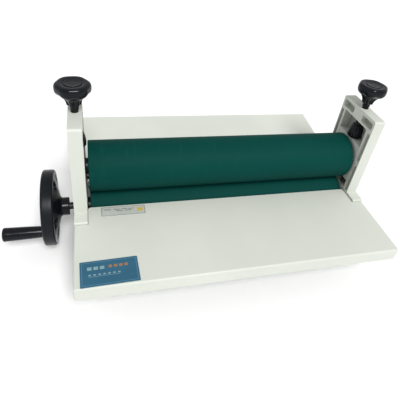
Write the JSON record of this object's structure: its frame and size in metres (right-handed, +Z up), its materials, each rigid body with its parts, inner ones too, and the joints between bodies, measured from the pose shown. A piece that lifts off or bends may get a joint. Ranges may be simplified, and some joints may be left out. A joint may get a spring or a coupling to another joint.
{
  "type": "cold roll laminator",
  "caption": "Hand-cranked desktop cold roll laminator: rubber rollers between side frames, sprung pressure screws with star knobs, feed and delivery tables.",
  "frame": {"origin": "bottom centre of the bounding box, on the level that the rubber feet stand on", "axes": "+X along the rollers away from the handwheel, +Y from the feed side to the delivery side, +Z up"},
  "size_m": [0.4856, 0.3052, 0.23],
  "materials": {
    "white_paint": "satin paint",
    "dark_steel": "black oxide",
    "zinc_steel": "zinc plated",
    "spring_steel": "bright wire",
    "foot_rubber": "matt",
    "bronze": "sintered",
    "brass": "turned",
    "blue_plate": "printed plate, blank",
    "white_label": "film label, blank",
    "green_rubber": "ground silicone rubber",
    "black_plastic": "moulded",
    "cast_block": "painted casting"
  },
  "bodies": {
    "base": {"left_side_frame": "white_paint", "right_side_frame": "white_paint", "front_table": "white_paint", "rear_table": "white_paint", "front_tie_bar": "dark_steel", "rear_tie_bar": "dark_steel", "lower_tie_rods": "zinc_steel", "frame_screws": "dark_steel", "table_nuts": "zinc_steel", "rubber_feet": "foot_rubber", "foot_screws": "zinc_steel", "left_lower_bush": "bronze", "right_lower_bush": "bronze", "left_thread_bush": "brass", "right_thread_bush": "brass", "left_lift_springs": "spring_steel", "right_lift_springs": "spring_steel", "info_plate": "blue_plate", "blank_label": "white_label"},
    "lower_roller": {"lower_roller_cover": "green_rubber", "lower_roller_core": "dark_steel", "handwheel": "black_plastic", "handwheel_set_screw": "dark_steel", "handwheel_washer": "zinc_steel", "handwheel_bolt": "zinc_steel", "grip_spindle": "zinc_steel", "spindle_nut": "dark_steel"},
    "crank_handle": {"crank_grip": "black_plastic"},
    "roller_carriage": {"left_bearing_block": "cast_block", "right_bearing_block": "cast_block", "left_upper_bush": "bronze", "right_upper_bush": "bronze", "left_pressure_spring": "spring_steel", "right_pressure_spring": "spring_steel"},
    "upper_roller": {"upper_roller_cover": "green_rubber", "upper_roller_core": "dark_steel"},
    "left_cup": {"left_spring_cup": "black_plastic"},
    "right_cup": {"right_spring_cup": "black_plastic"},
    "left_knob": {"left_star_knob": "black_plastic", "left_knob_cap": "black_plastic", "left_pressure_screw": "dark_steel", "left_cup_clip": "zinc_steel"},
    "right_knob": {"right_star_knob": "black_plastic", "right_knob_cap": "black_plastic", "right_pressure_screw": "dark_steel", "right_cup_clip": "zinc_steel"}
  },
  "joints": [
    {"name": "lower_roller_turn", "type": "hinge", "parent": "base", "child": "lower_roller", "pos_m": [0.03712, -0.00459, 0.0558], "axis": [1, 0, 0], "continuous": true},
    {"name": "crank_grip_turn", "type": "hinge", "parent": "lower_roller", "child": "crank_handle", "pos_m": [-0.19582, -0.0271, 0.03596], "axis": [1, 0, 0], "continuous": true},
    {"name": "roller_lift", "type": "slide", "parent": "base", "child": "roller_carriage", "axis": [0, 0, 1], "range_m": [0, 0.0075]},
    {"name": "upper_roller_turn", "type": "hinge", "parent": "roller_carriage", "child": "upper_roller", "pos_m": [0.03712, -0.00459, 0.1191], "axis": [1, 0, 0], "continuous": true},
    {"name": "right_screw_rise", "type": "slide", "parent": "base", "child": "right_cup", "axis": [0, 0, 1], "range_m": [0, 0.0075]},
    {"name": "right_knob_turn", "type": "hinge", "parent": "right_cup", "child": "right_knob", "pos_m": [0.22343, -0.00459, 0.1955], "axis": [0, 0, 1], "range_deg": [0, 2160]},
    {"name": "left_screw_rise", "type": "slide", "parent": "base", "child": "left_cup", "axis": [0, 0, 1], "range_m": [0, 0.0075]},
    {"name": "left_knob_turn", "type": "hinge", "parent": "left_cup", "child": "left_knob", "pos_m": [-0.14918, -0.00459, 0.1955], "axis": [0, 0, 1], "range_deg": [0, 2160]}
  ],
  "couplings": [
    {"joint": "upper_roller_turn", "follows": "lower_roller_turn", "ratio": -1},
    {"joint": "right_screw_rise", "follows": "roller_lift", "ratio": 1},
    {"joint": "left_screw_rise", "follows": "roller_lift", "ratio": 1},
    {"joint": "right_knob_turn", "follows": "roller_lift", "rad_per_m": 5026.5},
    {"joint": "left_knob_turn", "follows": "roller_lift", "rad_per_m": 5026.5}
  ]
}
